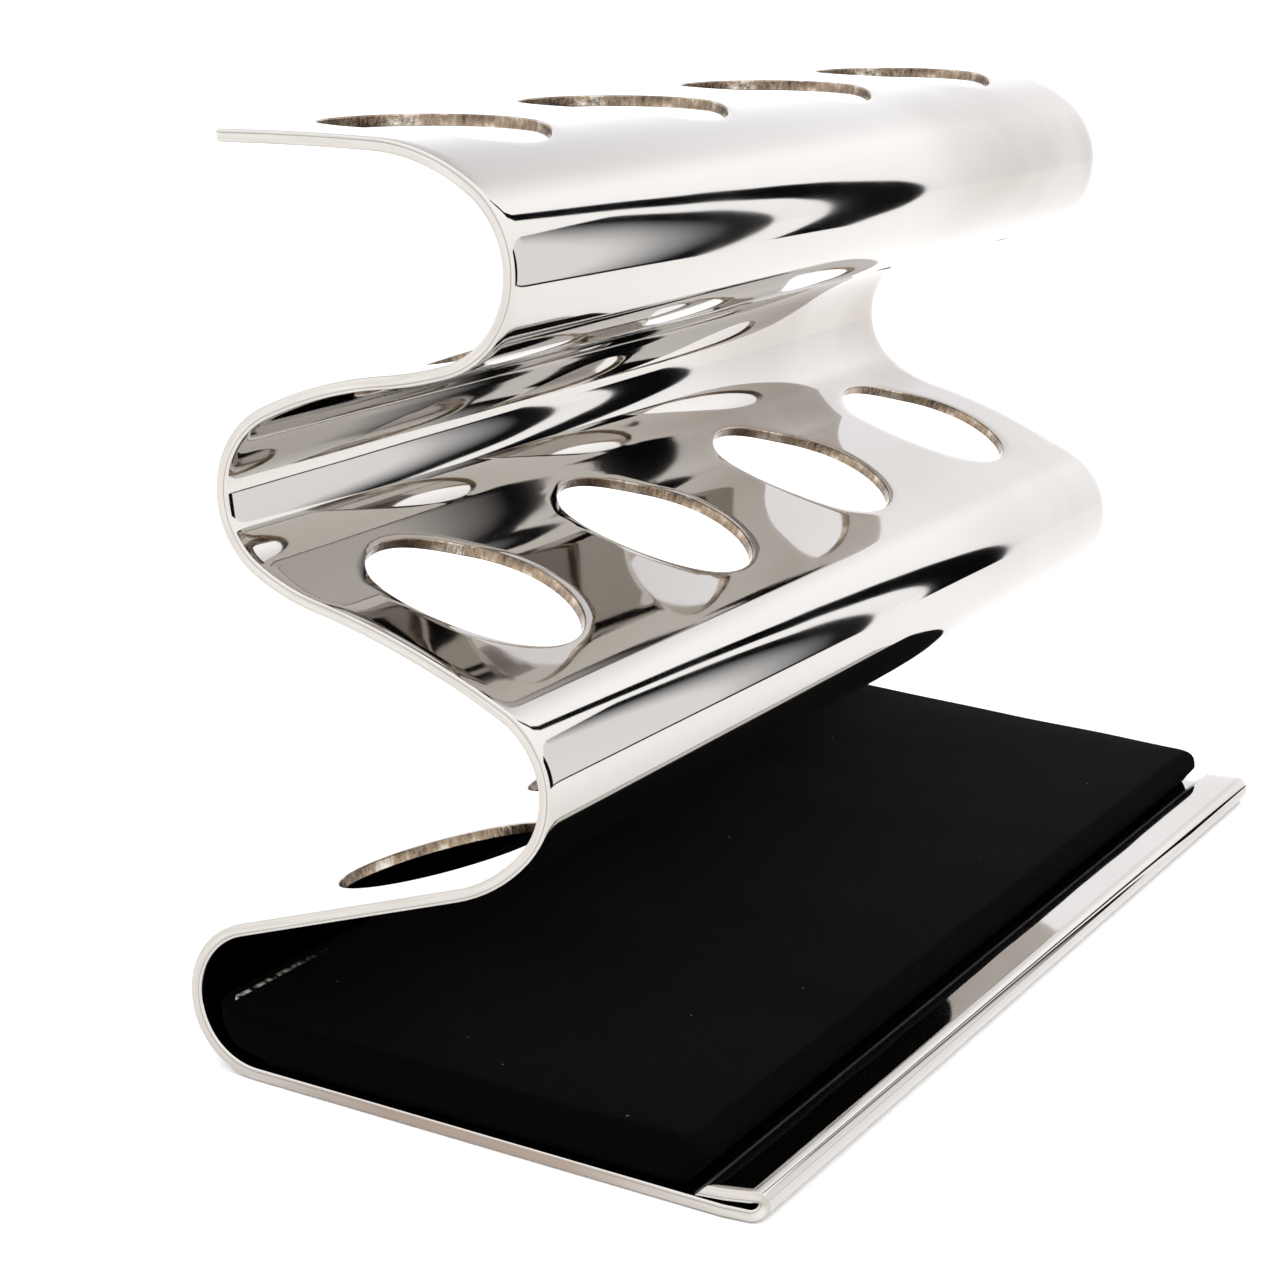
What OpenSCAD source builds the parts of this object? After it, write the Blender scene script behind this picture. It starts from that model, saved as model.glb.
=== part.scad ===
// Wave-shaped razor stand: one folded strip of polished steel sheet with a hemmed front edge,
// four sloping shelves of round holes for razor handles, and a velour-faced foam mat on its base.
// Frame: +X along the width, +Z up, the hemmed front toward -Y, origin under the middle of the box.

/* [Sheet] */
// Width of the folded strip
width = 250; // [150:1:320]
// Thickness of the steel sheet
sheet = 2; // [1:0.1:3]
// Radius of the four outer corners of the strip
corner_radius = 5; // [1:0.5:10]

/* [Base and hem] */
// Flat length of the base, from the front of the hem to the first bend
base_length = 88.7; // [70:0.1:110]
// Bend radius of the hem, to the middle of the sheet
hem_radius = 1.5; // [1.2:0.1:3]
// Slope of the hem's return, which closes down onto the base
hem_slope = 6; // [2:0.5:12]
// Length of the hem's return
hem_return = 7.9; // [5:0.1:12]
// Half the run of the bevel ground on the return's end
hem_bevel = 1.1; // [0:0.1:2]

/* [Bends] */
// Radius of the rear bend that carries the bottom shelf
bend_4_radius = 12; // [8:0.1:20]
// Angle of the rear bend that carries the bottom shelf
bend_4_angle = 159.2; // [120:0.1:180]
// Radius of the lower front bend
bend_3_radius = 14.1; // [8:0.1:20]
// Angle of the lower front bend
bend_3_angle = 102.1; // [60:0.1:140]
// Radius of the upper rear bend
bend_2_radius = 13.9; // [8:0.1:20]
// Angle of the upper rear bend
bend_2_angle = 121.9; // [60:0.1:150]
// Radius of the top front bend
bend_1_radius = 15; // [8:0.1:20]
// Angle of the top front bend
bend_1_angle = 127.4; // [60:0.1:150]

/* [Shelves, bottom to top] */
// Shelf 4: length of its straight rear part
shelf_4_rear = 41; // [20:0.1:60]
// Shelf 4: length of its front part, which eases into the lower front bend
shelf_4_front = 14.4; // [5:0.1:30]
// Shelf 4: how far its front part turns
shelf_4_ease = 32.4; // [0:0.1:45]
// Shelf 3: length of its front part, which goes on turning with the lower front bend
shelf_3_front = 34.7; // [20:0.1:60]
// Shelf 3: how far its front part turns
shelf_3_front_ease = 14.5; // [0:0.1:30]
// Shelf 3: length of its rear part
shelf_3_rear = 10.8; // [5:0.1:30]
// Shelf 3: how far its rear part turns, easing into the upper rear bend
shelf_3_rear_ease = 17.8; // [0:0.1:30]
// Shelf 2: length of its rear part
shelf_2_rear = 21.8; // [10:0.1:50]
// Shelf 2: how far its rear part turns, leaving the upper rear bend
shelf_2_rear_ease = 18.9; // [0:0.1:30]
// Shelf 2: length of its front part
shelf_2_front = 11.1; // [5:0.1:30]
// Shelf 2: how far its front part turns, easing into the top front bend
shelf_2_front_ease = 9.6; // [0:0.1:30]
// Shelf 1: length of its front part, which eases out of the top front bend
shelf_1_front = 17.7; // [10:0.1:40]
// Shelf 1: how far its front part turns
shelf_1_ease = 33.9; // [0:0.1:45]
// Shelf 1: length of its rear part, up to the free edge
shelf_1_rear = 29.1; // [20:0.1:50]
// Shelf 1: how far its rear part droops
shelf_1_droop = 3.4; // [0:0.1:15]

/* [Razor holes] */
// Diameter of each razor hole
hole_diameter = 36; // [20:0.5:40]
// Holes in each shelf
hole_count = 4; // [1:1:6]
// Shelf 4 holes: distance of their centres along the sheet, from the front of the base
hole_row_4 = 142.4; // [130:0.1:155]
// Shelf 3 holes: distance of their centres along the sheet, from the front of the base
hole_row_3 = 227.1; // [215:0.1:240]
// Shelf 2 holes: distance of their centres along the sheet, from the front of the base
hole_row_2 = 295.2; // [285:0.1:305]
// Shelf 1 holes: distance of their centres along the sheet, from the front of the base
hole_row_1 = 369.7; // [355:0.1:375]

/* [Mat] */
// Thickness of the mat's foam core
core_thickness = 7.2; // [3:0.1:12]
// Thickness of the velour bonded on top of the core
facing_thickness = 0.8; // [0.4:0.1:2]
// Gap between the hem's return and the mat's front edge
mat_gap = 0.3; // [0:0.1:5]
// Inset of the mat's ends from the ends of the strip
mat_inset = 0.5; // [0:0.1:10]

/* [Display] */
// The piece to draw

/* [Hidden] */
$fn = 96;
facet = 4;                                  // each bend is drawn in flats of at most this many degrees
half = sheet / 2;
fold_y = hem_radius + half;                 // the middle of the hem's fold, behind the front of the base
hole_pitch = width / hole_count;
hem_back = fold_y + hem_return * cos(hem_slope) + hem_bevel + hem_radius * sin(hem_slope);
mat_front = hem_back + mat_gap;
mat_floor = sheet;
core_top = sheet + core_thickness;
mat_top = core_top + facing_thickness;
mat_bend = bend_4_radius - half - 0.05;     // the mat's rear edge, just clear of the rear bend

steel = [0.80, 0.79, 0.77];
foam_black = [0.06, 0.06, 0.06];
velour_black = [0.03, 0.03, 0.03];

// The strip as a walk from the front of the base: each step is [length, turn], and a positive turn
// bends the sheet toward its upper face.
function bend(radius, angle) = [radius * abs(angle) * PI / 180, angle];
steps = [
    [base_length - fold_y, 0],
    bend(bend_4_radius, bend_4_angle),
    [shelf_4_rear, 0],
    [shelf_4_front, -shelf_4_ease],
    bend(bend_3_radius, -bend_3_angle),
    [shelf_3_front, -shelf_3_front_ease],
    [shelf_3_rear, shelf_3_rear_ease],
    bend(bend_2_radius, bend_2_angle),
    [shelf_2_rear, shelf_2_rear_ease],
    [shelf_2_front, -shelf_2_front_ease],
    bend(bend_1_radius, -bend_1_angle),
    [shelf_1_front, -shelf_1_ease],
    [shelf_1_rear, -shelf_1_droop]
];

// A place on the walk is [y, z, heading]. move() follows one step for the length s.
function chord(s, turn) = turn == 0 ? s : 2 * s / (turn * PI / 180) * sin(turn / 2);
function move(p, step, s) =
    let (turn = step[1] * s / step[0], c = chord(s, turn), h = p[2] + turn / 2)
    [p[0] + c * cos(h), p[1] + c * sin(h), p[2] + turn];
function place(p, s, i = 0) =
    i == len(steps) - 1 || s <= steps[i][0]
    ? move(p, steps[i], s)
    : place(move(p, steps[i], steps[i][0]), s - steps[i][0], i + 1);
function flats(step) = max(1, ceil(abs(step[1]) / facet));
function stations(p, i = 0) =
    i == len(steps)
    ? []
    : concat(
        [for (k = [1 : flats(steps[i])]) move(p, steps[i], steps[i][0] * k / flats(steps[i]))],
        stations(move(p, steps[i], steps[i][0]), i + 1)
    );

// The hem: its return lies on the base, and the fold turns it under into the base.
hem_turn = 180 + hem_slope;
hem_flats = ceil(hem_turn / 12);
function fold_place(a) = [
    fold_y + hem_radius * sin(a),
    half + hem_radius - hem_radius * cos(a),
    a
];
fold_top = fold_place(-hem_turn);
return_end = [
    fold_top[0] + hem_return * cos(hem_slope),
    fold_top[1] - hem_return * sin(hem_slope),
    fold_top[2]
];
base_start = [fold_y, half, 0];
middle = concat(
    [for (k = [0 : hem_flats]) fold_place(-hem_turn + hem_turn * k / hem_flats)],
    stations(base_start)
);

function side(p, d, along = 0) = [
    p[0] - d * sin(p[2]) + along * cos(p[2]),
    p[1] + d * cos(p[2]) + along * sin(p[2])
];
last = len(middle) - 1;
upper_face = concat(
    [side(return_end, half, -hem_bevel)],
    [for (p = middle) side(p, half)]
);
lower_face = concat(
    [for (k = [last : -1 : 0]) side(middle[k], -half)],
    [side(return_end, -half, hem_bevel)]
);
free_edge = middle[last];
depth = max([for (p = concat(upper_face, lower_face)) p[0]]);

// Turns a (y, z) outline into a bar of the given length along X, centred on the row's frame.
module along_x(length) {
    translate([-length / 2, -depth / 2, 0])
        rotate([90, 0, 90])
            linear_extrude(length)
                children();
}

// Puts its children on the walk's plane at p, with their Z along the sheet's normal.
module on_sheet(p, x) {
    translate([x, p[0] - depth / 2, p[1]])
        rotate([p[2], 0, 0])
            children();
}

module razor_holes(distance) {
    p = place(base_start, distance - fold_y);
    for (i = [0 : hole_count - 1])
        on_sheet(p, (i + 0.5) * hole_pitch - width / 2)
            translate([0, 0, -4 * sheet])
                cylinder(d = hole_diameter, h = 8 * sheet);
}

// What a rounded corner takes off: the corner is at the origin, and the sheet lies on its -X, -Y side.
module corner_cut(height) {
    translate([-corner_radius, -corner_radius, -height / 2])
        difference() {
            cube([2 * corner_radius, 2 * corner_radius, height]);
            translate([0, 0, -1])
                cylinder(r = corner_radius, h = height + 2);
        }
}

module strip() {
    color(steel)
        difference() {
            along_x(width)
                polygon(concat(upper_face, lower_face));
            razor_holes(hole_row_4);
            razor_holes(hole_row_3);
            razor_holes(hole_row_2);
            razor_holes(hole_row_1);
            for (end = [0, 1]) {
                mirror([end, 0, 0])
                    on_sheet(free_edge, width / 2)
                        corner_cut(6 * sheet);
                mirror([end, 0, 0])
                    translate([width / 2, -depth / 2, hem_radius + half])
                        mirror([0, 1, 0])
                            corner_cut(6 * sheet);
            }
        }
}

// One layer of the mat, from z = low to z = high, with its rear end following the rear bend.
module mat_layer(low, high) {
    centre = half + bend_4_radius;
    first = low > mat_floor ? acos((centre - low) / mat_bend) : 0;
    stop = acos((centre - high) / mat_bend);
    count = ceil((stop - first) / facet);
    rear = [
        for (k = [0 : count])
            let (a = first + (stop - first) * k / count)
            [base_length + mat_bend * sin(a), centre - mat_bend * cos(a)]
    ];
    along_x(width - 2 * mat_inset)
        polygon(concat(
            [[mat_front, high], [mat_front, low]],
            low > mat_floor ? [] : [[base_length - 2, low]],
            rear
        ));
}

module mat_core() {
    color(foam_black)
        mat_layer(mat_floor, core_top);
}

module mat_facing() {
    color(velour_black)
        mat_layer(core_top, mat_top);
}

strip();
mat_core();
mat_facing();
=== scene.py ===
import math

import bmesh
import bpy
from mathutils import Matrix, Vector, noise


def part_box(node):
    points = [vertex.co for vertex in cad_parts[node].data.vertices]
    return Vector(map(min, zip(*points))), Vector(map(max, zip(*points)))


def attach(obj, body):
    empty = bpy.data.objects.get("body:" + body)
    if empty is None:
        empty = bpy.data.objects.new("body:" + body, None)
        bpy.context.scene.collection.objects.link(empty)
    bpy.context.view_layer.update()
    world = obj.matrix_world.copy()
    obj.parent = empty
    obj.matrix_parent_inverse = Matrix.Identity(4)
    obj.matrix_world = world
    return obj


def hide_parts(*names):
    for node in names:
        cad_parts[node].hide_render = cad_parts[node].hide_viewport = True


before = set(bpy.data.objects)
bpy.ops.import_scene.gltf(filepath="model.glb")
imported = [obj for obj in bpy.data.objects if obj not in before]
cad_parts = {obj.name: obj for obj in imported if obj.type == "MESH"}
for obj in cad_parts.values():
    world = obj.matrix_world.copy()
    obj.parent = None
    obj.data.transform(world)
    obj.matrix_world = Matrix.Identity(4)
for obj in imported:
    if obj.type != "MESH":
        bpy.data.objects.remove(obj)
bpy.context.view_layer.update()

# ---------------------------------------------------------------------------------------------
# The strip. One blank of 2 mm steel is drilled flat with four rows of 36 mm holes, hemmed along
# its front edge, and rolled over formers into four sloping shelves. It is buffed to a mirror and
# nickel plated; its cut edges keep a satin finish, and the hole walls keep the drill's marks.
# ---------------------------------------------------------------------------------------------
strip_low, strip_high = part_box("strip")
strip_width = strip_high.x - strip_low.x
gauge = 0.002
drill_radius = 0.018
corner_radius = 0.005
edge_break = 0.0003

# Each pass of the former is the length of sheet it takes and the angle it turns, front to back.
hem_return, hem_radius, hem_turn = 0.0079, 0.0015, 186.0
hem_length = hem_return + hem_radius * math.radians(hem_turn)
former_passes = [
    (hem_return, 0),
    (hem_radius * math.radians(hem_turn), hem_turn),
    (0.0862, 0),
    (0.012 * math.radians(159.2), 159.2),
    (0.041, 0),
    (0.0144, -32.4),
    (0.0141 * math.radians(102.1), -102.1),
    (0.0347, -14.5),
    (0.0108, 17.8),
    (0.0139 * math.radians(121.9), 121.9),
    (0.0218, 18.9),
    (0.0111, -9.6),
    (0.015 * math.radians(127.4), -127.4),
    (0.0177, -33.9),
    (0.0291, -3.4),
]
blank_length = sum(length for length, turn in former_passes)
fold_y = hem_radius + gauge / 2
slope = math.radians(hem_turn - 180)
return_end = (
    strip_low.y + fold_y + hem_radius * math.sin(slope) + hem_return * math.cos(slope),
    gauge / 2 + hem_radius * (1 + math.cos(slope)) - hem_return * math.sin(slope),
    -math.radians(hem_turn),
)


def roll(distance):
    """Where a point of the blank's middle plane ends up: its y, its z and the sheet's heading."""
    y, z, heading = return_end
    for length, degrees in former_passes:
        fed = min(max(distance, 0), length)
        turned = math.radians(degrees) * fed / length
        chord = fed if abs(turned) < 1e-9 else 2 * fed / turned * math.sin(turned / 2)
        y += chord * math.cos(heading + turned / 2)
        z += chord * math.sin(heading + turned / 2)
        heading += turned
        distance -= length
        if distance <= 0:
            break
    return y, z, heading


# The blank's cross lines: the four bands of holes are 32 even rows, and the rest follows the bends.
hole_rows = [hem_length - fold_y + row for row in (0.1424, 0.2271, 0.2952, 0.3697)]
hole_bands = [(row - 0.0205, min(row + 0.0205, blank_length)) for row in hole_rows]
hole_bands[3] = (hole_bands[3][0], blank_length)
cross_lines = []
start = 0.0
for length, degrees in former_passes:
    rows = max(round(abs(degrees) / 4), round(length / 0.0043), 1)
    if degrees == hem_turn:
        rows = 26
    cross_lines += [start + length * k / rows for k in range(rows)]
    start += length
cross_lines = [
    s for s in cross_lines if not any(a - 0.0006 < s < b + 0.0006 for a, b in hole_bands)
]
for a, b in hole_bands:
    cross_lines += [a + (b - a) * k / 32 for k in range(33)]
cross_lines.sort()

# Its long lines: twenty to each hole, closing up toward the two ends of the strip.
pitch = strip_width / 4
long_lines = [pitch * k / 20 for k in range(-20, 21)]
long_lines += [pitch + pitch * (1 - (1 - k / 20) ** 1.5) for k in range(1, 21)]
long_lines += [-x for x in long_lines if x > pitch]
long_lines.sort()

blank = bmesh.new()
row_of_points = [blank.verts.new((x, cross_lines[0], 0)) for x in long_lines]
row_of_edges = [blank.edges.new(pair) for pair in zip(row_of_points, row_of_points[1:])]
for s0, s1 in zip(cross_lines, cross_lines[1:]):
    fed = bmesh.ops.extrude_edge_only(blank, edges=row_of_edges)["geom"]
    row_of_edges = [
        e
        for e in fed
        if isinstance(e, bmesh.types.BMEdge) and len(e.link_faces) == 1
        and abs(e.verts[0].co.y - e.verts[1].co.y) < 1e-7
    ]
    moved = [v for v in fed if isinstance(v, bmesh.types.BMVert)]
    bmesh.ops.translate(blank, verts=moved, vec=(0, s1 - s0, 0))

# The free edge's two corners are rounded, and the hem's two ends are dressed back at the fold.
for v in blank.verts:
    out = Vector((abs(v.co.x) - (strip_width / 2 - corner_radius), v.co.y - (blank_length - corner_radius)))
    on_rim = abs(abs(v.co.x) - strip_width / 2) < 1e-6 or abs(v.co.y - blank_length) < 1e-6
    if on_rim and out.x > 0 and out.y > 0:
        out = out.normalized() * corner_radius
        v.co.x = math.copysign(strip_width / 2 - corner_radius + out.x, v.co.x)
        v.co.y = blank_length - corner_radius + out.y
for v in blank.verts:
    if v.co.y < hem_length + corner_radius:
        back = max(0, corner_radius - (roll(v.co.y)[0] - strip_low.y))
        v.co.x *= 1 - (corner_radius - math.sqrt(corner_radius**2 - back**2)) / (strip_width / 2)

# Each hole takes the place of its square of the blank, joined to it by six rings.
for row, (a, b) in zip(hole_rows, hole_bands):
    for column in range(4):
        centre = Vector(((column - 1.5) * pitch, row, 0))
        inside = [
            f
            for f in blank.faces
            if abs(f.calc_center_median().x - centre.x) < pitch / 2
            and a < f.calc_center_median().y < b
        ]
        around = dict.fromkeys(e for f in inside for e in f.edges)
        rim = [e for e in around if sum(f in inside for f in e.link_faces) == 1]
        bmesh.ops.delete(blank, geom=inside, context="FACES_KEEP_BOUNDARY")
        drawn_in = bmesh.ops.extrude_edge_only(blank, edges=rim)["geom"]
        bore = [v for v in drawn_in if isinstance(v, bmesh.types.BMVert)]
        bore.sort(key=lambda v: math.atan2(v.co.y - centre.y, v.co.x - centre.x))
        first = min(range(len(bore)), key=lambda k: abs(bore[k].co.y - centre.y) - bore[k].co.x)
        for k, v in enumerate(bore):
            turn = 2 * math.pi * (k - first) / len(bore)
            v.co = centre + drill_radius * Vector((math.cos(turn), math.sin(turn), 0))
        spokes = [e for v in bore for e in v.link_edges if not (e.verts[0] in bore and e.verts[1] in bore)]
        bmesh.ops.subdivide_edges(blank, edges=spokes, cuts=5, use_grid_fill=True)

bmesh.ops.recalc_face_normals(blank, faces=blank.faces)
if sum(f.normal.z for f in blank.faces) < 0:
    bmesh.ops.reverse_faces(blank, faces=blank.faces)
bmesh.ops.solidify(blank, geom=blank.faces[:], thickness=gauge)
bmesh.ops.recalc_face_normals(blank, faces=blank.faces)
middle = (min(v.co.z for v in blank.verts) + max(v.co.z for v in blank.verts)) / 2
bmesh.ops.translate(blank, verts=blank.verts, vec=(0, 0, -middle))
for f in blank.faces:
    f.smooth = True
    f.material_index = 0
    if abs(f.normal.z) < 0.5:
        at = f.calc_center_median()
        near = min(
            math.hypot(at.x - (c - 1.5) * pitch, at.y - row) for row in hole_rows for c in range(4)
        )
        f.material_index = 2 if near < drill_radius * 1.01 else 1
for v in blank.verts:
    if v.co.y < 1e-6:
        v.co.y += 0.0011 * (1 if v.co.z < 0 else -1)
cut_edges = [e for e in blank.edges if len(e.link_faces) == 2 and e.calc_face_angle() > 0.9]
bmesh.ops.bevel(
    blank, geom=cut_edges, offset=edge_break, segments=3, profile=0.5, affect="EDGES", material=-1
)

# The blank's own places are kept as a map in metres: across and along its faces, along and through
# its cut edges, and round and through each hole's wall.
sheet_map = blank.loops.layers.uv.new("sheet")
for f in blank.faces:
    at = f.calc_center_median()
    row = min(hole_rows, key=lambda r: abs(r - at.y))
    column = min(max(math.floor(at.x / pitch) + 0.5, -1.5), 1.5)
    at_turn = math.atan2(at.y - row, at.x - column * pitch)
    for corner in f.loops:
        p = corner.vert.co
        if f.material_index == 2:
            turn = math.atan2(p.y - row, p.x - column * pitch)
            turn += 2 * math.pi * round((at_turn - turn) / (2 * math.pi))
            corner[sheet_map].uv = (turn * drill_radius, p.z)
        elif f.material_index == 1:
            corner[sheet_map].uv = (p.y if abs(f.normal.x) > 0.7 else p.x, p.z)
        else:
            corner[sheet_map].uv = (p.x, p.y)

# Buffing rolls each face over slightly toward its cut edges. Apart from that, the flat faces keep
# their true normals, and then the blank goes to the former.
def buffed_over(point):
    """How a face's normal leans at a point of the blank, as a vector along the sheet."""
    lean = Vector((0, 0, 0))
    end_gap = strip_width / 2 - abs(point.x)
    if end_gap < 0.003:
        lean.x += math.copysign(0.16 * (1 - end_gap / 0.003) ** 2, point.x)
    free_gap = blank_length - point.y
    if free_gap < 0.003:
        lean.y += 0.16 * (1 - free_gap / 0.003) ** 2
    for row in hole_rows:
        if abs(point.y - row) < drill_radius + 0.0025:
            column = min(max(math.floor(point.x / pitch) + 0.5, -1.5), 1.5)
            spoke = Vector((point.x - column * pitch, point.y - row, 0))
            gap = max(spoke.length - drill_radius, 0)
            if gap < 0.0025:
                lean -= spoke.normalized() * 0.12 * (1 - gap / 0.0025) ** 2
    return lean


blank.normal_update()
flat_normals = []
for v in blank.verts:
    faces = [f.normal for f in v.link_faces if abs(f.normal.z) > 0.9999]
    walls = [f.normal for f in v.link_faces if abs(f.normal.z) < 0.01]
    kept = faces or walls or [f.normal for f in v.link_faces]
    n = sum(kept, Vector()).normalized()
    flat_normals.append((n + buffed_over(v.co)).normalized() if faces else n)
rolled_normals = []
for v, n in zip(blank.verts, flat_normals):
    y, z, heading = roll(v.co.y)
    past = v.co.y - min(max(v.co.y, 0), blank_length)
    c, s = math.cos(heading), math.sin(heading)
    v.co = (v.co.x, y - v.co.z * s + past * c, z + v.co.z * c + past * s)
    rolled_normals.append((n.x, n.y * c - n.z * s, n.y * s + n.z * c))


def placed(name, shape):
    """An object made from a finished shape, with its place in its mesh. The shape is used up."""
    mesh = bpy.data.meshes.new(name)
    shape.to_mesh(mesh)
    shape.free()
    obj = bpy.data.objects.new(name, mesh)
    bpy.context.scene.collection.objects.link(obj)
    return obj


strip = placed("strip_nickel", blank)
strip.data.normals_split_custom_set_from_vertices(rolled_normals)


def hex_colour(code):
    """An sRGB hex colour as the linear colour that a shader takes."""
    parts = [int(code[i : i + 2], 16) / 255 for i in (1, 3, 5)]
    return (*[c / 12.92 if c <= 0.04045 else ((c + 0.055) / 1.055) ** 2.4 for c in parts], 1)


def add(tree, kind, links=(), stops=(), **settings):
    """Adds a node. A setting named as an input fills that input, and any other is the node's own.

    The stops are a colour ramp's places and hex colours, from first to last.
    """
    n = tree.nodes.new(kind)
    for name, value in settings.items():
        if hasattr(n, name):
            setattr(n, name, value)
        else:
            n.inputs[name.replace("_", " ")].default_value = value
    for name, source in dict(links).items():
        tree.links.new(source, n.inputs[name])
    if stops:
        marks = n.color_ramp.elements
        for mark, (at, code) in zip((marks[0], marks[1]), (stops[0], stops[-1])):
            mark.position, mark.color = at, hex_colour(code)
        for at, code in stops[1:-1]:
            marks.new(at).color = hex_colour(code)
    return n


def new_finish(name):
    """A new material with its node tree and its shader."""
    finish = bpy.data.materials.new(name)
    finish.use_nodes = True
    return finish, finish.node_tree, finish.node_tree.nodes["Principled BSDF"]


# Bright nickel over buffed steel: a warm mirror, with faint buffing waves and a breath of haze, in
# patches of about 36 mm. Its tone is darker than clean nickel's, to suit the tent's strong light.
nickel, tree, shader = new_finish("nickel_plate_polished")
shader.inputs["Metallic"].default_value = 1
place = add(tree, "ShaderNodeTexCoord").outputs["Object"]
haze = add(tree, "ShaderNodeTexNoise", {"Vector": place}, Scale=28.0, Detail=3.0).outputs["Fac"]
rough = add(
    tree, "ShaderNodeMapRange", {"Value": haze}, From_Min=0.35, From_Max=0.75, To_Min=0.025, To_Max=0.06
)
tree.links.new(rough.outputs["Result"], shader.inputs["Roughness"])
tint = add(tree, "ShaderNodeValToRGB", {"Fac": haze}, stops=[(0, "#b6b1ab"), (1, "#bab6b0")])
# Buffing compound and fingers have left a brownish bloom on the far end, mostly on the top bend,
# in smears of about 67 mm.
parts = add(tree, "ShaderNodeSeparateXYZ", {"Vector": place}).outputs
far_end = add(
    tree,
    "ShaderNodeMapRange",
    {"Value": parts["X"]},
    interpolation_type="SMOOTHSTEP",
    From_Min=0.02,
    From_Max=0.085,
)
high_up = add(
    tree,
    "ShaderNodeMapRange",
    {"Value": parts["Z"]},
    interpolation_type="SMOOTHSTEP",
    From_Min=0.06,
    From_Max=0.115,
    To_Min=0.35,
)
smears = add(tree, "ShaderNodeTexNoise", {"Vector": place}, Scale=15.0, Detail=3.0, Distortion=0.4)
smeared = add(
    tree,
    "ShaderNodeMapRange",
    {"Value": smears.outputs["Fac"]},
    From_Min=0.38,
    From_Max=0.68,
    To_Min=0.3,
    To_Max=0.95,
)
region = add(
    tree,
    "ShaderNodeMath",
    {0: far_end.outputs["Result"], 1: high_up.outputs["Result"]},
    operation="MULTIPLY",
)
bloom = add(
    tree,
    "ShaderNodeMath",
    {0: region.outputs["Value"], 1: smeared.outputs["Result"]},
    operation="MULTIPLY",
)
dulled = add(
    tree,
    "ShaderNodeMix",
    {"Factor": bloom.outputs["Value"], "A": tint.outputs["Color"]},
    data_type="RGBA",
    B=hex_colour("#7d7066"),
)
tree.links.new(dulled.outputs["Result"], shader.inputs["Base Color"])
# The waves are about 16 mm apart, and longer along the strip than across it.
stretch = add(tree, "ShaderNodeMapping", {"Vector": place}, Scale=(0.35, 1, 1))
wave = add(tree, "ShaderNodeTexNoise", {"Vector": stretch.outputs["Vector"]}, Scale=60.0, Detail=1.0)
ripple = add(tree, "ShaderNodeBump", {"Height": wave.outputs["Fac"]}, Strength=0.15, Distance=0.0006)
tree.links.new(ripple.outputs["Normal"], shader.inputs["Normal"])

# Satin cut edge: the same plate over a dressed edge, so it scatters light in a soft cream band with
# the file's lines running along it, drawn 0.45 mm apart, coarser than real, so that they show.
satin, tree, shader = new_finish("nickel_satin_edge")
shader.inputs["Metallic"].default_value = 1
sheet_place = add(tree, "ShaderNodeUVMap", uv_map="sheet").outputs["UV"]
stretch = add(tree, "ShaderNodeMapping", {"Vector": sheet_place}, Scale=(0.04, 1, 1))
filed = add(tree, "ShaderNodeTexNoise", {"Vector": stretch.outputs["Vector"]}, Scale=2200.0, Detail=2.0)
filed = filed.outputs["Fac"]
dressed = add(tree, "ShaderNodeValToRGB", {"Fac": filed}, stops=[(0.3, "#b5b1ab"), (0.65, "#c3c0bb")])
# Through the sheet, painted light: a fine grey line near the upper face is a painted dark reflection of its
# rounded corner, the bright band at that corner is a painted highlight, and the darker lower band is
# painted shade.
through = add(tree, "ShaderNodeSeparateXYZ", {"Vector": sheet_place}).outputs["Y"]
depth = add(tree, "ShaderNodeMapRange", {"Value": through}, From_Min=-gauge / 2, From_Max=gauge / 2)
painted_edge_light = add(
    tree,
    "ShaderNodeValToRGB",
    {"Fac": depth.outputs["Result"]},
    stops=[
        (0, "#b4aca2"),
        (0.1, "#f4f1ed"),
        (0.66, "#fbf9f6"),
        (0.73, "#8f8b88"),
        (0.8, "#f4f3f1"),
        (0.9, "#f8f7f6"),
        (1, "#e6e4e2"),
    ],
)
# The file's grain, multiplied by the painted light across the edge.
filed_and_painted_light = add(
    tree,
    "ShaderNodeMix",
    {"A": dressed.outputs["Color"], "B": painted_edge_light.outputs["Color"]},
    data_type="RGBA",
    blend_type="MULTIPLY",
    Factor=0.75,
)
# The base's own edge is the plainest: it carries a painted tan reflection, most of all midway along.
parts = add(tree, "ShaderNodeSeparateXYZ", {"Vector": add(tree, "ShaderNodeTexCoord").outputs["Object"]})
low_down = add(
    tree, "ShaderNodeMapRange", {"Value": parts.outputs["Z"]}, From_Min=0.0024, From_Max=0.0016
)
along_base = add(
    tree, "ShaderNodeMapRange", {"Value": parts.outputs["Y"]}, From_Min=strip_low.y, From_Max=strip_high.y
)
painted_tan_spread = add(
    tree,
    "ShaderNodeValToRGB",
    {"Fac": along_base.outputs["Result"]},
    stops=[
        (0, "#202020"),
        (0.14, "#404040"),
        (0.32, "#f0f0f0"),
        (0.62, "#f0f0f0"),
        (0.85, "#505050"),
        (1, "#000000"),
    ],
)
painted_tan_share = add(
    tree, "ShaderNodeMath", {0: low_down.outputs["Result"], 1: painted_tan_spread.outputs["Color"]}, operation="MULTIPLY"
)
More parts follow.
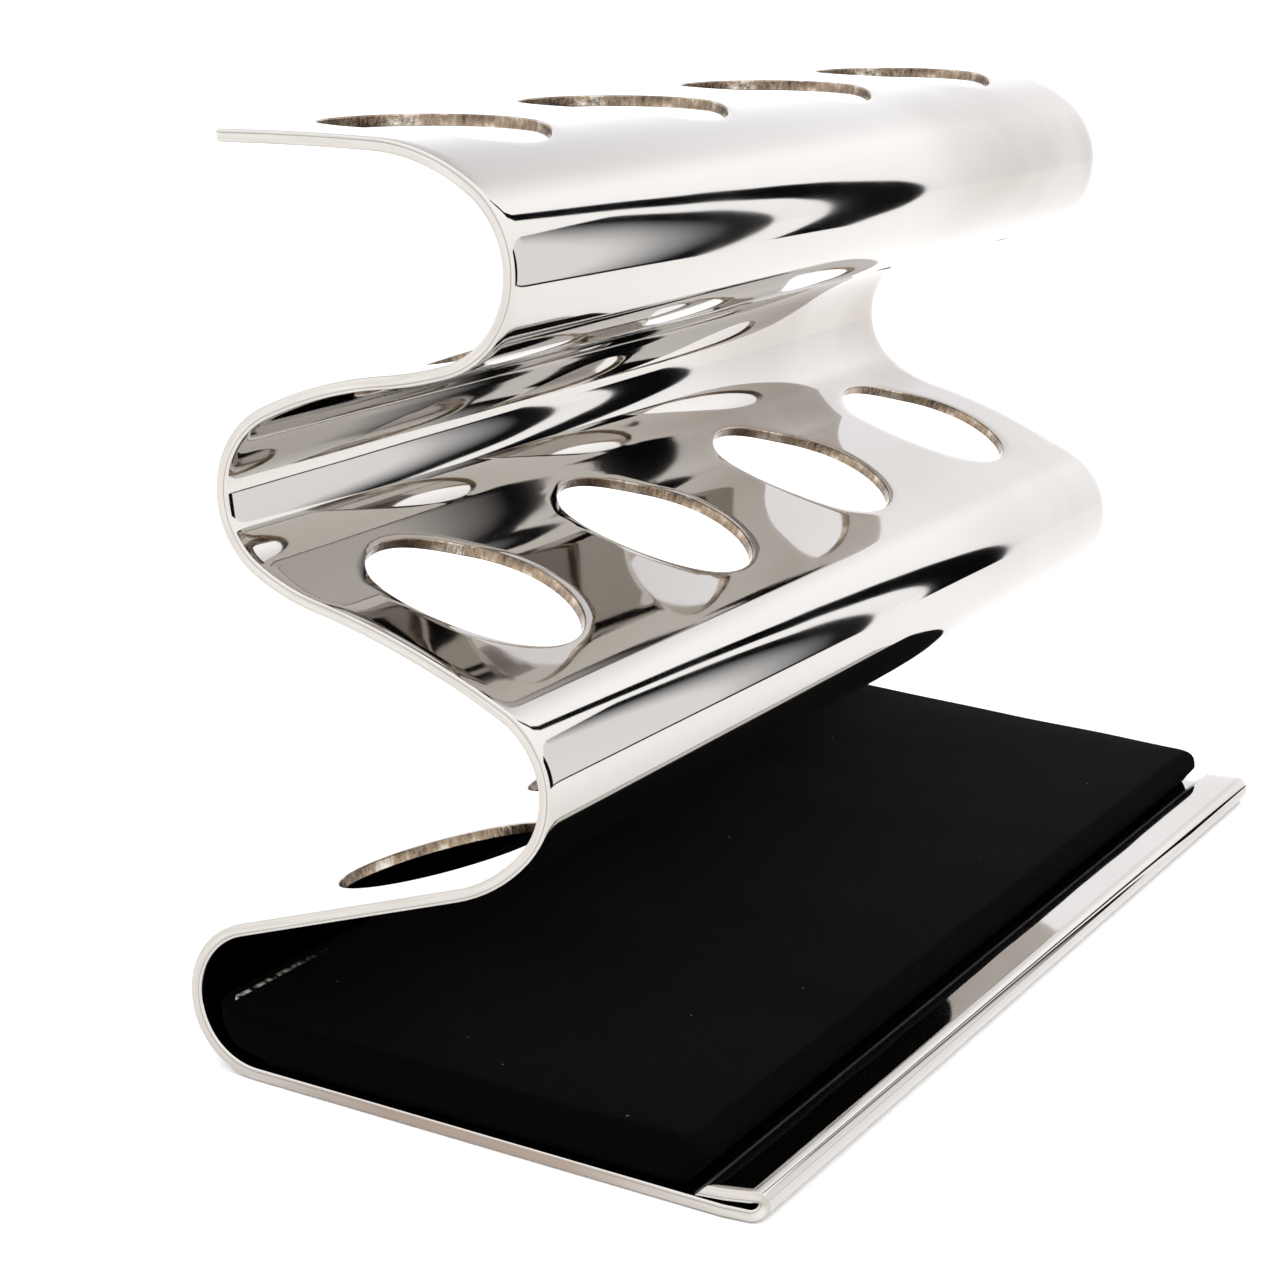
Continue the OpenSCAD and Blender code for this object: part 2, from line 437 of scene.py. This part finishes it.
# Mix the painted tan reflection into the edge colour.
with_painted_tan = add(
    tree,
    "ShaderNodeMix",
    {"Factor": painted_tan_share.outputs["Value"], "A": filed_and_painted_light.outputs["Result"]},
    data_type="RGBA",
    B=hex_colour("#9c8b7e"),
)
tree.links.new(with_painted_tan.outputs["Result"], shader.inputs["Base Color"])
rough = add(tree, "ShaderNodeMapRange", {"Value": filed}, To_Min=0.28, To_Max=0.5)
tree.links.new(rough.outputs["Result"], shader.inputs["Roughness"])
grain = add(tree, "ShaderNodeBump", {"Height": filed}, Strength=0.08, Distance=0.0002)
tree.links.new(grain.outputs["Normal"], shader.inputs["Normal"])

# Drilled wall: the plate is thin and dull here, over the tool's marks, about 0.8 mm apart, which
# run through the sheet. It mirrors its surroundings only in patches of about 9 mm.
bored, tree, shader = new_finish("nickel_bored_wall")
shader.inputs["Metallic"].default_value = 1
shader.inputs["Roughness"].default_value = 0.24
sheet_place = add(tree, "ShaderNodeUVMap", uv_map="sheet").outputs["UV"]
stretch = add(tree, "ShaderNodeMapping", {"Vector": sheet_place}, Scale=(1, 0.4, 1))
marks = add(tree, "ShaderNodeTexNoise", {"Vector": stretch.outputs["Vector"]}, Scale=1300.0, Detail=4.0)
marks = marks.outputs["Fac"]
patches = add(tree, "ShaderNodeTexNoise", {"Vector": sheet_place}, Scale=110.0, Detail=3.0)
blend = add(tree, "ShaderNodeMath", {0: patches.outputs["Fac"], 2: marks}, operation="MULTIPLY_ADD")
blend.inputs[1].default_value = 2.6
span = add(tree, "ShaderNodeMapRange", {"Value": blend.outputs["Value"]}, From_Min=1.25, From_Max=2.3)
tone = add(
    tree,
    "ShaderNodeValToRGB",
    {"Fac": span.outputs["Result"]},
    stops=[(0.1, "#3a3029"), (0.3, "#6f6053"), (0.6, "#94836f"), (0.95, "#c9c0b4")],
)
tree.links.new(tone.outputs["Color"], shader.inputs["Base Color"])
scored = add(tree, "ShaderNodeBump", {"Height": marks}, Strength=0.5, Distance=0.0004)
tree.links.new(scored.outputs["Normal"], shader.inputs["Normal"])

for finish in (nickel, satin, bored):
    strip.data.materials.append(finish)
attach(strip, "root")
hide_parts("strip")

# ---------------------------------------------------------------------------------------------
# The mat's core. A slab of black foam is cut to the base, pushed back under the rear bend and
# bonded down. It starts slightly small, and a cloth simulation swells it between its glued foot and
# its free faces. The whole mat is made here as one slab, and its facing is split off above.
# ---------------------------------------------------------------------------------------------
core_low, core_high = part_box("mat_core")
facing_low, facing_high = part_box("mat_facing")
swell = 0.0006
bend_y = strip_low.y + 0.0887
bend_z = gauge / 2 + 0.012
bend_reach = 0.0109

slab = bmesh.new()
outline = [(core_low.y + swell, core_low.z), (core_low.y + swell, facing_high.z - swell)]
for share in (1, 0.75, 0.5, 0.25, 0):
    z = core_low.z + (facing_high.z - swell - core_low.z) * share
    outline.append((bend_y + math.sqrt(max(bend_reach**2 - (bend_z - z) ** 2, 0)), z))
end_face = slab.faces.new([slab.verts.new((core_low.x + swell, y, z)) for y, z in outline])
pulled = bmesh.ops.extrude_face_region(slab, geom=[end_face], use_keep_orig=True)["geom"]
bmesh.ops.translate(
    slab,
    verts=[v for v in pulled if isinstance(v, bmesh.types.BMVert)],
    vec=(core_high.x - core_low.x - 2 * swell, 0, 0),
)
bmesh.ops.recalc_face_normals(slab, faces=slab.faces)
foam_block = placed("foam_before_swelling", slab)
remesh = foam_block.modifiers.new("even_cells", "REMESH")
remesh.mode = "VOXEL"
remesh.voxel_size = 0.002


def finished(obj):
    """The object's mesh with its modifiers applied, as a new mesh."""
    bpy.context.view_layer.update()
    return bpy.data.meshes.new_from_object(obj.evaluated_get(bpy.context.evaluated_depsgraph_get()))


cut_mesh = finished(foam_block)
foam_block.modifiers.clear()
foam_block.data = cut_mesh
cut_places = [v.co.copy() for v in cut_mesh.vertices]
glued = foam_block.vertex_groups.new(name="glued")
foot_height = core_low.z + 0.0012
held = [v for v in cut_mesh.vertices if v.co.z < foot_height or v.co.y > bend_y + 0.004]
glued.add([v.index for v in held], 1, "REPLACE")
cloth = foam_block.modifiers.new("swelling", "CLOTH")
cloth.settings.quality = 5
cloth.settings.use_pressure = True
cloth.settings.uniform_pressure_force = 0.3
cloth.settings.effector_weights.gravity = 0
cloth.settings.vertex_group_mass = "glued"
cloth.collision_settings.use_collision = False
cloth.point_cache.frame_end = 20
for step in range(1, 21):
    bpy.context.scene.frame_set(step)
swelled = finished(foam_block)
foam_block.modifiers.clear()
for v, place_cut in zip(swelled.vertices, cut_places):
    move = v.co - place_cut
    if move.length > swell:
        move *= swell / move.length
    v.co = place_cut + move
foam_block.data = swelled
bpy.context.scene.frame_set(1)
pad = bmesh.new()
pad.from_mesh(foam_block.data)
bpy.data.objects.remove(foam_block)
bmesh.ops.smooth_vert(
    pad, verts=pad.verts, factor=0.5, use_axis_x=True, use_axis_y=True, use_axis_z=True
)
bmesh.ops.subdivide_edges(pad, edges=pad.edges, cuts=1, use_grid_fill=True, smooth=0.6)
widest = max(abs(v.co.x) for v in pad.verts)
bmesh.ops.scale(pad, verts=pad.verts, vec=(core_high.x / widest, 1, 1))


def layer_of(slab, split_height, keep_above):
    """The part of the slab above or below the bond line, closed there with a face of its own."""
    layer = slab.copy()
    cut = bmesh.ops.bisect_plane(
        layer,
        geom=layer.verts[:] + layer.edges[:] + layer.faces[:],
        plane_co=(0, 0, split_height),
        plane_no=(0, 0, 1),
        clear_inner=keep_above,
        clear_outer=not keep_above,
    )
    rim = [e for e in cut["geom_cut"] if isinstance(e, bmesh.types.BMEdge)]
    for f in layer.faces:
        f.smooth = True
    bond = bmesh.ops.triangle_fill(layer, edges=rim, use_beauty=True, use_dissolve=False)["geom"]
    for part in bond:
        if isinstance(part, bmesh.types.BMFace):
            part.smooth = False
    for step in range(10):
        bmesh.ops.bisect_plane(
            layer,
            geom=layer.verts[:] + layer.edges[:] + layer.faces[:],
            plane_co=(0, bend_y - 0.0015 + 0.001 * step, 0),
            plane_no=(0, 1, 0),
        )
    bmesh.ops.recalc_face_normals(layer, faces=layer.faces)
    return layer


def laid_in(point):
    """Where a point of the slab ends up once it is pressed into the strip."""
    front_share = max(0, 1 - (point.y - core_low.y) / 0.006)
    above_hem = min(max((point.z - 0.0040) / 0.0022, 0), 1)
    free = min(max((point.z - 0.003) / 0.004, 0), 1)
    x, y, z = point
    y -= 0.0011 * front_share * above_hem * above_hem * (3 - 2 * above_hem)
    y += 0.00025 * noise.noise(point * 90 + Vector((3, 7, 1))) * front_share * free
    z += 0.00022 * noise.noise(point * 55) * free
    # The rear edge is pushed a little way up the bend.
    pushed = min(max((point.y - bend_y - 0.0005) / 0.008, 0), 1) * free
    z += 0.0030 * pushed * pushed
    gap = math.hypot(y - bend_y, z - bend_z)
    if y > bend_y and gap > bend_reach:
        y = bend_y + (y - bend_y) * bend_reach / gap
        z = bend_z + (z - bend_z) * bend_reach / gap
    return Vector((x, y, max(z, core_low.z + 0.00002)))


core = layer_of(pad, core_high.z, keep_above=False)
for v in core.verts:
    v.co = laid_in(v.co)
core_piece = placed("mat_core_foam", core)

# Closed-cell EVA foam, knife cut: dead matt black, with a fine grain of open cells. The cells are
# drawn 0.6 mm across, coarser than real, so that they show.
foam, tree, shader = new_finish("eva_foam_black")
shader.inputs["Base Color"].default_value = hex_colour("#030303")
shader.inputs["Roughness"].default_value = 0.95
shader.inputs["Specular IOR Level"].default_value = 0.02
place = add(tree, "ShaderNodeTexCoord").outputs["Object"]
cells = add(tree, "ShaderNodeTexVoronoi", {"Vector": place}, Scale=1600.0)
grain = add(tree, "ShaderNodeBump", {"Height": cells.outputs["Distance"]}, Strength=0.5, Distance=0.0004)
tree.links.new(grain.outputs["Normal"], shader.inputs["Normal"])
core_piece.data.materials.append(foam)
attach(core_piece, "root")
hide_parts("mat_core")

# ---------------------------------------------------------------------------------------------
# The mat's facing. Black velour, 0.8 mm thick, is laminated to the foam before the slab is cut, so
# the two share one soft edge and meet on the bond line; it has picked up some lint.
# ---------------------------------------------------------------------------------------------
facing = layer_of(pad, core_high.z, keep_above=True)
pad.free()
for v in facing.verts:
    v.co = laid_in(v.co)
velour_piece = placed("mat_facing_velour", facing)

# Velour: the pile swallows light, greys a little where it leans, in patches of about 40 mm, and
# holds pale specks of lint, a few at a time. Its fibres are drawn 0.4 mm apart, coarser than real,
# so that they show.
velour, tree, shader = new_finish("cotton_velour_black")
shader.inputs["Roughness"].default_value = 0.9
shader.inputs["Specular IOR Level"].default_value = 0.03
shader.inputs["Sheen Weight"].default_value = 0.003
shader.inputs["Sheen Roughness"].default_value = 0.5
shader.inputs["Sheen Tint"].default_value = hex_colour("#b8c0cc")
place = add(tree, "ShaderNodeTexCoord").outputs["Object"]
nap = add(tree, "ShaderNodeTexNoise", {"Vector": place}, Scale=24.0, Detail=4.0)
pile = add(
    tree, "ShaderNodeValToRGB", {"Fac": nap.outputs["Fac"]}, stops=[(0.3, "#020202"), (0.7, "#040404")]
)
lint = add(tree, "ShaderNodeTexVoronoi", {"Vector": place}, Scale=210.0, Randomness=1.0)
speck = add(
    tree, "ShaderNodeMapRange", {"Value": lint.outputs["Distance"]}, From_Min=0.05, From_Max=0.02
)
few = add(tree, "ShaderNodeTexNoise", {"Vector": place}, Scale=75.0, Detail=2.0)
kept = add(tree, "ShaderNodeMapRange", {"Value": few.outputs["Fac"]}, From_Min=0.52, From_Max=0.62)
linty = add(
    tree, "ShaderNodeMath", {0: speck.outputs["Result"], 1: kept.outputs["Result"]}, operation="MULTIPLY"
)
dusted = add(
    tree,
    "ShaderNodeMix",
    {"Factor": linty.outputs["Value"], "A": pile.outputs["Color"]},
    data_type="RGBA",
    B=hex_colour("#77777a"),
)
# At its rear near corner, against the bend, the velour carries a pale jagged line: a painted highlight
# where the mat's end catches the light.
parts = add(tree, "ShaderNodeSeparateXYZ", {"Vector": place}).outputs
at_bend = add(
    tree, "ShaderNodeMapRange", {"Value": parts["Y"]}, From_Min=bend_y + 0.0065, From_Max=bend_y + 0.0068
)
near_corner = add(
    tree,
    "ShaderNodeMapRange",
    {"Value": parts["X"]},
    From_Min=core_low.x + 0.030,
    From_Max=core_low.x + 0.004,
)
hook_jag_noise = add(tree, "ShaderNodeTexNoise", {"Vector": place}, Scale=650.0, Detail=3.0)
painted_hook_jag = add(tree, "ShaderNodeMapRange", {"Value": hook_jag_noise.outputs["Fac"]}, From_Min=0.42, From_Max=0.58)
corner_edge = add(
    tree,
    "ShaderNodeMath",
    {0: at_bend.outputs["Result"], 1: near_corner.outputs["Result"]},
    operation="MULTIPLY",
)
painted_hook_mask = add(
    tree,
    "ShaderNodeMath",
    {0: corner_edge.outputs["Value"], 1: painted_hook_jag.outputs["Result"]},
    operation="MULTIPLY",
)
# Mix the painted highlight into the velour's colour.
with_painted_hook = add(
    tree,
    "ShaderNodeMix",
    {"Factor": painted_hook_mask.outputs["Value"], "A": dusted.outputs["Result"]},
    data_type="RGBA",
    B=hex_colour("#d8cfc2"),
)
tree.links.new(with_painted_hook.outputs["Result"], shader.inputs["Base Color"])
fibres = add(tree, "ShaderNodeTexNoise", {"Vector": place}, Scale=2600.0, Detail=2.0)
fuzz = add(tree, "ShaderNodeBump", {"Height": fibres.outputs["Fac"]}, Strength=0.6, Distance=0.0003)
tree.links.new(fuzz.outputs["Normal"], shader.inputs["Normal"])
velour_piece.data.materials.append(velour)
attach(velour_piece, "root")
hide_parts("mat_facing")

# ---------------------------------------------------------------------------------------------
# The set: a white floor and a white tent for a sky, with a dark pole and a dark-edged grey screen
# with a dark strip along its bottom, standing in for the rest of the studio. Those show only as
# reflections.
# ---------------------------------------------------------------------------------------------
bpy.ops.mesh.primitive_plane_add(size=6, location=(0, 0, -0.0002))
floor = bpy.context.object
floor.name = "floor"
paper, tree, shader = new_finish("white_paper")
shader.inputs["Base Color"].default_value = hex_colour("#fcfbf9")
shader.inputs["Roughness"].default_value = 0.9
floor.data.materials.append(paper)

world = bpy.data.worlds.new("white_tent")
bpy.context.scene.world = world
world.use_nodes = True
tree = world.node_tree
sky = tree.nodes["Background"]
sky.inputs["Strength"].default_value = 2.2
# The tent is whitest overhead, and it is open high up on the far side, so it is dimmer there.
way = add(tree, "ShaderNodeTexCoord").outputs["Generated"]
toward_gap = add(tree, "ShaderNodeVectorMath", {0: way}, operation="DOT_PRODUCT")
toward_gap.inputs[1].default_value = (0.58, 0.405, 0.707)
dim = add(
    tree,
    "ShaderNodeMapRange",
    {"Value": toward_gap.outputs["Value"]},
    interpolation_type="SMOOTHSTEP",
    From_Min=0.74,
    From_Max=0.98,
)
height = add(tree, "ShaderNodeSeparateXYZ", {"Vector": way}).outputs["Z"]
roof = add(tree, "ShaderNodeMapRange", {"Value": height})
cover = add(
    tree,
    "ShaderNodeMix",
    {"Factor": roof.outputs["Result"]},
    data_type="RGBA",
    A=hex_colour("#dfe1e5"),
    B=hex_colour("#fafbff"),
)
tent = add(
    tree,
    "ShaderNodeMix",
    {"Factor": dim.outputs["Result"], "A": cover.outputs["Result"]},
    data_type="RGBA",
    B=hex_colour("#b4b4b8"),
)
tree.links.new(tent.outputs["Result"], sky.inputs["Color"])


def reflected_panel(name, y_span, z_span, x, stops):
    """An upright glowing panel that only reflections see, shaded along y by its stops."""
    panel = bmesh.new()
    corner = panel.verts.new((x, y_span[0], z_span[0]))
    edge = bmesh.ops.extrude_vert_indiv(panel, verts=[corner])
    bmesh.ops.translate(panel, verts=edge["verts"], vec=(0, y_span[1] - y_span[0], 0))
    face = bmesh.ops.extrude_edge_only(panel, edges=edge["edges"])["geom"]
    raised = [v for v in face if isinstance(v, bmesh.types.BMVert)]
    bmesh.ops.translate(panel, verts=raised, vec=(0, 0, z_span[1] - z_span[0]))
    board = placed(name, panel)
    cover, tree, shader = new_finish(name + "_cloth")
    tree.nodes.remove(shader)
    y = add(
        tree, "ShaderNodeSeparateXYZ", {"Vector": add(tree, "ShaderNodeTexCoord").outputs["Object"]}
    ).outputs["Y"]
    share = add(tree, "ShaderNodeMapRange", {"Value": y}, From_Min=y_span[0], From_Max=y_span[1])
    shade = add(tree, "ShaderNodeValToRGB", {"Fac": share.outputs["Result"]}, stops=stops)
    glow = add(tree, "ShaderNodeEmission", {"Color": shade.outputs["Color"]}, Strength=2.0)
    tree.links.new(glow.outputs["Emission"], tree.nodes["Material Output"].inputs["Surface"])
    board.data.materials.append(cover)
    board.visible_camera = False
    board.visible_diffuse = False
    board.visible_shadow = False


screen_x = 0.5
screen_end_y = -0.256
reflected_panel(
    "tent_pole", (-0.232, -0.196), (0.02, 0.9), screen_x, [(0, "#060608"), (1, "#060608")]
)
reflected_panel(
    "grey_screen",
    (-0.66, screen_end_y),
    (0.0, 0.33),
    screen_x,
    [
        (0, "#08090a"),
        (0.36, "#08090a"),
        (0.40, "#dedfe1"),
        (0.82, "#d8d9dc"),
        (0.905, "#8a8c90"),
        (0.955, "#0a0b0d"),
        (1, "#0a0b0d"),
    ],
)
# A dark strip along the bottom of the screen.
reflected_panel(
    "screen_dark_bottom_strip",
    (-0.50, screen_end_y),
    (0.0, 0.012),
    screen_x - 0.001,
    [(0, "#08090a"), (1, "#08090a")],
)

# The camera stands low at the near end, and looks along the shelves.
lens = bpy.data.cameras.new("camera")
lens.lens = 84.5
lens.clip_start, lens.clip_end = 0.01, 20
camera = bpy.data.objects.new("camera", lens)
bpy.context.scene.collection.objects.link(camera)
camera.location = (-0.49416, -0.20735, 0.19661)
camera.rotation_euler = [math.radians(turned) for turned in (74.667, -4.031, -62.675)]
bpy.context.scene.camera = camera
bpy.context.scene.view_settings.view_transform = "Standard"
